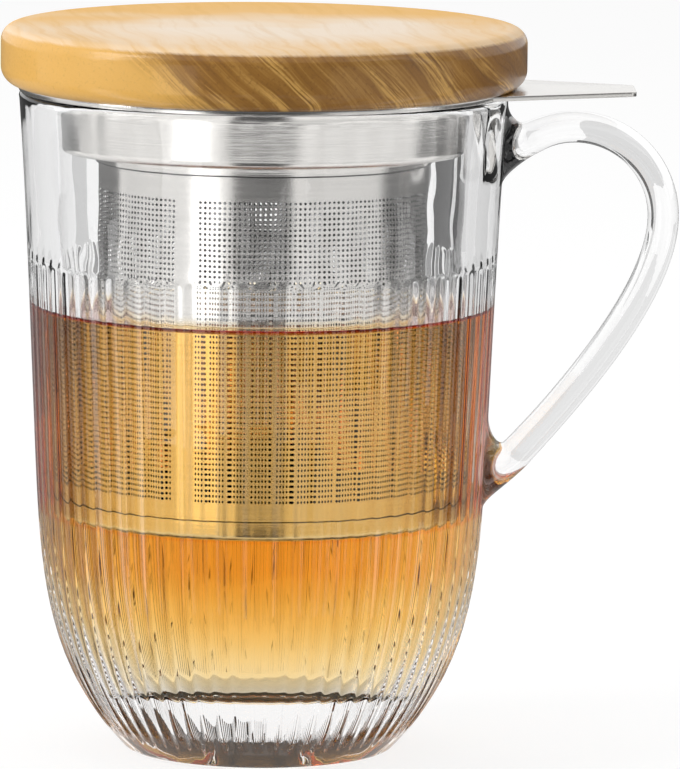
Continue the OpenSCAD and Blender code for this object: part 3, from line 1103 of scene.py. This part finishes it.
def wood_finish(settings):
    """Oiled wood: a golden rim side with the key light from the left painted in, slanting growth
    lines, pores, and a pale top that is lighter from sanding and has a painted sheen.
    """
    finish = new_finish("lid_wood")
    where = finish.where()
    x, y, z = (part * PER_METRE for part in finish.split(where))
    wobble = finish.noise(where, 45.0, 2.0)
    slant = x * 0.72 + (z - GRAIN_Z) * 0.72 + y * 0.12 + (wobble - 0.5) * 5.0
    along = y * 0.02
    bands = finish.noise(finish.join(slant * 0.5, along, 0.0), 1.0, 3.0, 0.6)
    lines = finish.noise(finish.join(slant * 0.3 + 9.0, along, z * 0.03), 1.0, 1.0)
    fine = finish.noise(finish.join(slant * 2.8, y * 0.1, z * 0.15), 1.0, 3.0, 0.7)
    clouds = finish.noise(where, 34.0, 2.0)
    pores = finish.noise(finish.stretch(where, (1500.0, 1500.0, 1500.0)), 1.0, 2.0, 0.7)
    dark, mid = tuple(settings.dark_wood), tuple(settings.mid_wood)
    light, lit_sap = tuple(settings.light_wood), tuple(settings.sapwood_and_key_light)
    heart = finish.node(
        "ShaderNodeValToRGB", {"stops": [(0.3, dark), (0.52, mid), (0.78, light)]},
        {0: (bands * 0.5 + clouds * 0.5 + (fine - 0.5) * 0.25).clamp()},
    )
    streak = ((lines - 0.54) * 12.0).clamp() * ((fine - 0.42) * 7.0).clamp() * 0.85
    heart = finish.mix(streak, heart, light)
    # side runs from the golden tone on the left to the heartwood on the right: partly the wood's
    # own figure, partly painted light on the left and painted shade on the right.
    side = ((slant + 24.0 + (clouds - 0.5) * 24.0) * 0.1).clamp() * 0.88 + 0.12
    rim = finish.mix(side, lit_sap, heart)
    speck = ((pores - 0.56) * 6.0).clamp() * (0.1 + side * 0.3)
    rim = finish.mix(speck, rim, dark)
    rim = finish.mix(((fine - 0.5) * 3.0).clamp() * (1.0 - side) * 0.5, rim, light)
    # Painted sheen on the top: pale at the front and sides, golden towards the back and the outer
    # edge where less sheen is painted, with light streaks.
    back = ((y + 4.0 + (clouds - 0.5) * 60.0) * 0.035).clamp()
    sanded_and_sheen = finish.mix(back * 0.8, tuple(settings.pale_top_and_sheen), lit_sap)
    out = finish.maths("SQRT", x * x + y * y)
    edge = ((out - 20.0 + (clouds - 0.5) * 30.0) * 0.05).clamp()
    sanded_and_sheen = finish.mix(edge * (bands * 0.9).clamp(), sanded_and_sheen, lit_sap)
    sanded_and_sheen = finish.mix((bands - 0.5).clamp() * 1.2, sanded_and_sheen, light)
    # top is 1 on the flat top, which takes the pale painted-sheen colour, and 0 on the rim; the
    # real coat is taken off the top, where the sheen is painted instead.
    top = ((z - (LID_TOP - 1.15) + (fine - 0.5) * 0.5) * 2.2).clamp()
    skin = finish.skin(
        Base_Color=finish.mix(top, rim, sanded_and_sheen),
        Roughness=(0.36 + pores * 0.16 + top * 0.25).clamp(),
        Coat_Weight=(0.5 - top * 0.5).clamp(), Coat_Roughness=0.16, Specular_IOR_Level=0.3,
        Normal=finish.bump(pores + fine * 0.6, 0.00005),
    )
    return finish.finish(skin)


class TEAMUG_OT_lid(Undoable, bpy.types.Operator):
    """Turns the wooden lid with its round edges, spigot and groove"""

    bl_idname = "teamug.lid"
    bl_label = "Wooden Lid"

    def execute(self, context):
        soft = 0.8
        profile = [(0.0, SPIGOT_LOW), (12.0, SPIGOT_LOW), (24.0, SPIGOT_LOW)]
        profile += arc((SPIGOT_R - soft, SPIGOT_LOW + soft), soft, -90, 0, 4)
        profile += [(SPIGOT_R, SEAL_LOW), (SEAL_IN_R, SEAL_LOW), (SEAL_IN_R, SEAL_TOP),
                    (SPIGOT_R, SEAL_TOP), (SPIGOT_R, LID_LOW), (40.0, LID_LOW)]
        profile += arc((LID_R - LID_LOW_R, LID_LOW + LID_LOW_R), LID_LOW_R, -90, 0, 12)
        profile += arc((LID_R - LID_TOP_R, LID_TOP - LID_TOP_R), LID_TOP_R, 0, 90, 12)
        profile += [(r, LID_TOP) for r in (38.0, 30.0, 18.0, 8.0, 0.0)]
        turned_piece(
            "lid_turned", profile, TURN_STEPS, wood_finish(context.scene.tea_mug.lid),
            "lid", "lid_disc", closed=False)
        return {"FINISHED"}


# Seal: gap in its groove, reach of its body, thickness and round edge of its fins, in mm.
SEAL_GAP = 0.03
SEAL_BODY = 0.4
FIN = 0.6
FIN_ROUND = 0.22
SEAL_STEPS = 160


class TEAMUG_OT_seal(Undoable, bpy.types.Operator):
    """Builds the silicone ring with its two fins"""

    bl_idname = "teamug.seal"
    bl_label = "Silicone Ring"

    def execute(self, context):
        stand, inner = SPIGOT_R + SEAL_BODY, SEAL_IN_R + SEAL_GAP
        profile = [(inner, SEAL_LOW + SEAL_GAP), (stand, SEAL_LOW + SEAL_GAP)]
        for low in (SEAL_LOW + 0.3, SEAL_TOP - FIN - 0.3):
            profile += [(stand, low), (SEAL_R - 0.4, low - 0.05)]
            profile += arc((SEAL_R - FIN_ROUND, low + 0.2), FIN_ROUND, -70, 90, 5)
            profile += [(stand, low + FIN)]
        profile += [(stand, SEAL_TOP - SEAL_GAP), (inner, SEAL_TOP - SEAL_GAP)]
        finish = new_finish("seal_silicone")
        grain = finish.noise(finish.where(), 900.0, 2.0)
        base = tuple(context.scene.tea_mug.lid.silicone)
        skin = finish.skin(
            Base_Color=finish.mix(grain, tuple(c * 0.93 for c in base), base),
            Roughness=(0.42 + grain * 0.14).clamp(), Subsurface_Weight=0.15,
            Subsurface_Radius=(0.001, 0.001, 0.001), Normal=finish.bump(grain, 0.00002),
        )
        turned_piece(
            "lid_seal_ring", profile, SEAL_STEPS, finish.finish(skin),
            "lid", "lid_seal")
        return {"FINISHED"}


# ==== Studio ====


def plain_mesh(name, corners, finish, faces=None):
    """A stage piece from its corners, in metres."""
    mesh = bpy.data.meshes.new(name)
    mesh.from_pydata(corners, [], faces or [tuple(range(len(corners)))])
    mesh.materials.append(finish)
    card = bpy.data.objects.new(name, mesh)
    bpy.context.scene.collection.objects.link(card)
    return card


def card_finish(name, level, seen_by):
    """An even tone that only some light paths meet; all others pass straight through it.

    "skin" is light mirrored by the outermost surfaces, "metal" light mirrored by the steel,
    "wall" light mirrored inside the mug's wall, "solid" light that went through solid glass
    alone, such as the handle or the foot, and "through" light that went through the whole mug.
    """
    finish = new_finish(name)
    path = finish.node("ShaderNodeLightPath")
    mirrored = path.out("Glossy Depth").clamp()
    through = path.out("Transmission Depth")
    one_body = through.clamp() * (3.0 - through).clamp()
    share = {
        "skin": mirrored * (1.0 - through).clamp(),
        "metal": mirrored * (1.0 - one_body),
        "wall": mirrored * one_body,
        "solid": (1.0 - mirrored) * one_body,
        "through": (1.0 - mirrored) * (through - 2.0).clamp(),
    }[seen_by]
    clear = finish.node("ShaderNodeBsdfTransparent")
    return finish.finish(finish.blend(share, clear, finish.glow(level)))


def add_card(name, seen_by, level, start, end, profile):
    """A bent card; azimuth 0 is the front, 90 the handle's side, and points are (reach, height)."""
    steps = max(2, int(abs(end - start) / 6))
    corners, faces, tall = [], [], len(profile)
    for azimuth in np.linspace(start, end, steps + 1):
        turn = math.radians(FRONT + azimuth)
        corners += [(reach * math.cos(turn), reach * math.sin(turn), z) for reach, z in profile]
    for i in range(steps):
        for j in range(tall - 1):
            k = i * tall + j
            faces.append((k, k + tall, k + tall + 1, k + 1))
    card = plain_mesh(name, corners, card_finish(name, level, seen_by), faces)
    card.visible_camera = card.visible_diffuse = card.visible_shadow = False


def lamp(name, size, place, aim, power):
    """A soft rectangular lamp that points at its aim."""
    light = bpy.data.lights.new(name, "AREA")
    light.shape, (light.size, light.size_y), light.energy = "RECTANGLE", size, power
    holder = bpy.data.objects.new(name, light)
    holder.location = place
    holder.rotation_euler = (Vector(aim) - Vector(place)).to_track_quat("-Z", "Y").to_euler()
    bpy.context.scene.collection.objects.link(holder)


# Camera in metres and degrees; the lens is a setting.
CAMERA_PLACE = (0.0, -1.363, 0.2628)
CAMERA_AIM = (0.0142, 0.0, 0.0663)
CAMERA_ROLL = 0.59
# Studio floor: its tone as a lit surface, and its dimmer tone and own glow where it is seen.
FLOOR_TONE = 0.86
FLOOR_DIM = 0.24
FLOOR_GLOW = 0.82
FLOOR_REACH = 3.0
FLOOR_Z = -0.0002
# Profiles of the cards: reach from the axis and height, in metres.
LOW_CARD = ((0.09, 0.001), (0.30, 0.001), (0.30, 0.044))
UPPER_CARD = ((0.30, 0.044), (0.30, 0.12))
TALL_CARD = ((0.30, 0.001), (0.30, 0.12))
WALL_CARD = ((0.30, 0.001), (0.30, 0.30))
BAR = ((0.24, 0.001), (0.60, 0.001), (0.60, 0.10))
NEAR_FLOOR = ((0.05, 0.001), (0.55, 0.001))
FAR_FLOOR = ((0.34, 0.001), (0.60, 0.001))
ROOM = ((0.03, 0.001), (0.90, 0.001), (0.90, 0.60))
FOOT_BAR = ((0.6, 0.20), (0.6, 0.36))
BACK_CARD = ((0.55, 0.001), (0.60, 0.001), (0.60, 0.12))
# By the light that meets it: name, level, first and last azimuth in degrees, and profile.
CARDS = {
    "skin": (
        ("room_front", 0.14, -66.0, 66.0, ROOM),
        ("room_left", 0.14, -96.0, -78.0, ROOM),
        ("room_right", 0.14, 76.0, 92.0, ROOM),
        ("room_back_left", 0.35, -176.0, -98.0, NEAR_FLOOR),
        ("room_back_right", 0.35, 96.0, 176.0, NEAR_FLOOR),
        ("glow_left", 3.0, -78.0, -70.0, ROOM),
        ("glow_right", 2.2, 70.0, 76.0, ROOM),
    ),
    "metal": (
        ("card_front", 0.06, -19.0, 18.0, UPPER_CARD),
        ("card_front_floor", 0.04, -17.0, 14.0, ((0.09, 0.002), (0.335, 0.002))),
        ("card_right_floor", 0.75, 13.0, 84.0, ((0.20, 0.002), (0.335, 0.002))),
        ("card_collar_left", 0.30, -125.0, -90.0, FAR_FLOOR),
        ("card_collar_right", 0.25, 90.0, 125.0, FAR_FLOOR),
        ("card_right", 0.10, 84.0, 180.0, UPPER_CARD),
        ("card_left", 0.12, -180.0, -109.0, UPPER_CARD),
        ("card_mid_left", 0.80, -103.0, -48.0, UPPER_CARD),
        ("card_glow", 2.0, -46.0, -27.0, TALL_CARD),
        ("card_mid_right", 0.78, 27.0, 84.0, UPPER_CARD),
        ("low_left_1", 0.45, -180.0, -140.0, LOW_CARD),
        ("low_left_2", 0.60, -132.0, -121.0, LOW_CARD),
        ("low_right_1", 0.45, 138.0, 180.0, LOW_CARD),
        ("low_right_2", 0.60, 119.0, 131.0, LOW_CARD),
        *((f"low_bar_{abs(a)}_{'left' if a < 0 else 'right'}", 1.2, a - 3.0, a + 3.0, LOW_CARD)
          for a in (-112, -97, -82, -67, -53, -21, -8, 7, 22, 37, 52, 67, 82, 97, 110)),
    ),
    "wall": (
        ("card_wall_right", 0.72, 95.0, 150.0, WALL_CARD),
        ("card_wall_left", 0.90, -150.0, -100.0, WALL_CARD),
    ),
    "solid": (
        ("card_ceiling", 0.02, 146.0, 216.0, ((0.8, 0.42), (0.8, 1.3))),
        ("card_handle_under", 0.06, 152.0, 172.0, ((0.6, 0.235), (0.6, 0.36))),
        ("card_handle_crest", 0.06, 172.0, 186.0, ((0.6, 0.33), (0.6, 0.40))),
        ("card_handle_bend", 0.10, 156.5, 164.5, ((0.6, 0.02), (0.6, 0.20))),
        ("card_handle_soft", 0.72, 164.5, 171.0, ((0.6, 0.001), (0.6, 0.24))),
        ("card_handle_low", 0.80, 180.5, 188.0, ((0.6, 0.02), (0.6, 0.12))),
        ("card_handle_inner", 0.15, 150.0, 160.0, ((0.50, 0.001), (0.60, 0.001))),
        ("card_handle_leg", 0.30, 130.0, 150.0, ((0.20, 0.001), (0.36, 0.001))),
        ("foot_bar_1", 0.20, 128.0, 142.0, FOOT_BAR),
        ("foot_bar_2", 0.25, 200.0, 204.0, FOOT_BAR),
        ("foot_bar_3", 0.20, 209.0, 215.0, FOOT_BAR),
        ("foot_bar_4", 0.20, 221.0, 234.0, FOOT_BAR),
    ),
    "through": (
        ("back_left", 0.30, 166.0, 178.6, BACK_CARD),
        ("back_right", 0.30, 181.2, 192.0, BACK_CARD),
        ("bar_1", 0.12, 112.0, 154.0, BAR),
        ("bar_2", 0.12, 157.0, 164.0, BAR),
        ("bar_3", 0.30, 169.0, 172.0, BAR),
        ("bar_4", 0.40, 178.0, 179.5, BAR),
        ("bar_5", 0.35, 186.0, 188.5, BAR),
        ("bar_6", 0.65, 197.0, 203.0, BAR),
    ),
}
# Name, size, place, aim and power in watts.
LAMPS = (
    ("key_left", (0.6, 0.9), (-1.15, -0.35, 0.60), (0.0, 0.0, 0.09), 9.0),
    ("fill_right", (0.6, 0.8), (0.95, -0.65, 0.55), (0.0, 0.0, 0.08), 1.2),
    ("top_soft", (0.9, 0.9), (0.0, 0.25, 1.25), (0.0, 0.0, 0.08), 3.5),
)


class TEAMUG_OT_stage(Undoable, bpy.types.Operator):
    """Sets up the camera, the white studio, its lamps and its cards"""

    bl_idname = "teamug.stage"
    bl_label = "Studio"

    def execute(self, context):
        settings = context.scene.tea_mug.stage
        scene = context.scene
        scene.view_settings.view_transform = "Standard"

        lens = bpy.data.cameras.new("camera")
        lens.lens, lens.sensor_width = settings.lens, 36.0
        lens.clip_start, lens.clip_end = 0.05, 30.0
        camera = bpy.data.objects.new("camera", lens)
        place, aim = Vector(CAMERA_PLACE), Vector(CAMERA_AIM)
        look = (aim - place).to_track_quat("-Z", "Y")
        roll = Euler((0.0, 0.0, math.radians(CAMERA_ROLL))).to_quaternion()
        camera.rotation_mode = "QUATERNION"
        camera.location, camera.rotation_quaternion = place, look @ roll
        scene.collection.objects.link(camera)
        scene.camera = camera

        world = bpy.data.worlds.new("studio_world")
        scene.world = world
        sky = Finish(world)
        even = sky.node("ShaderNodeBackground", {}, {0: WHITE, 1: settings.world_level})
        white = sky.node("ShaderNodeBackground", {}, {0: WHITE, 1: 1.0})
        sky.finish(sky.blend(sky.seen_share(), even, white))

        ground = new_finish("studio_floor")
        matt = ground.node("ShaderNodeBsdfDiffuse", {}, {0: (FLOOR_TONE,) * 3})
        dim = ground.node("ShaderNodeBsdfDiffuse", {}, {0: (FLOOR_DIM,) * 3})
        shown = ground.node("ShaderNodeAddShader", {}, {0: dim, 1: ground.glow(FLOOR_GLOW)})
        ground.finish(ground.blend(ground.seen_share(), matt, shown))
        reach, low = FLOOR_REACH, FLOOR_Z
        plain_mesh("studio_floor", [(-reach, -reach, low), (reach, -reach, low),
                                    (reach, reach, low), (-reach, reach, low)], ground.owner)

        for seen_by, rows in CARDS.items():
            for name, *row in rows:
                add_card(name, seen_by, *row)
        for row in LAMPS:
            lamp(*row)
        return {"FINISHED"}


# ==== Add-on ====

PIECE_OPERATORS = (
    TEAMUG_OT_glass, TEAMUG_OT_tea, TEAMUG_OT_rim_plate, TEAMUG_OT_collar, TEAMUG_OT_sleeve,
    TEAMUG_OT_base_ring, TEAMUG_OT_basket_floor, TEAMUG_OT_lid, TEAMUG_OT_seal, TEAMUG_OT_stage,
)


class TEAMUG_PT_panel(bpy.types.Panel):
    """Lists the mug's settings and the buttons that build its pieces"""

    bl_idname = "TEAMUG_PT_panel"
    bl_label = "Tea Mug"
    bl_space_type = "VIEW_3D"
    bl_region_type = "UI"
    bl_category = "Tea Mug"

    def draw(self, context):
        settings = context.scene.tea_mug
        for group in (settings.glass, settings.infuser, settings.tea, settings.lid, settings.stage):
            box = self.layout.box()
            for name in group.bl_rna.properties.keys():
                if name not in {"rna_type", "name"}:
                    box.prop(group, name)
        for operator in PIECE_OPERATORS:
            self.layout.operator(operator.bl_idname)


CLASSES = (
    GlassSettings, InfuserSettings, TeaSettings, LidSettings, StageSettings, TeaMugSettings,
    *PIECE_OPERATORS, TEAMUG_PT_panel,
)


def register():
    for cls in CLASSES:
        bpy.utils.register_class(cls)
    bpy.types.Scene.tea_mug = bpy.props.PointerProperty(type=TeaMugSettings)


def unregister():
    del bpy.types.Scene.tea_mug
    for cls in reversed(CLASSES):
        bpy.utils.unregister_class(cls)


def main():
    register()
    bpy.ops.teamug.glass()
    bpy.ops.teamug.tea()
    bpy.ops.teamug.rim_plate()
    bpy.ops.teamug.collar()
    bpy.ops.teamug.sleeve()
    bpy.ops.teamug.base_ring()
    bpy.ops.teamug.basket_floor()
    bpy.ops.teamug.lid()
    bpy.ops.teamug.seal()
    bpy.ops.teamug.stage()


if __name__ == "__main__":
    main()
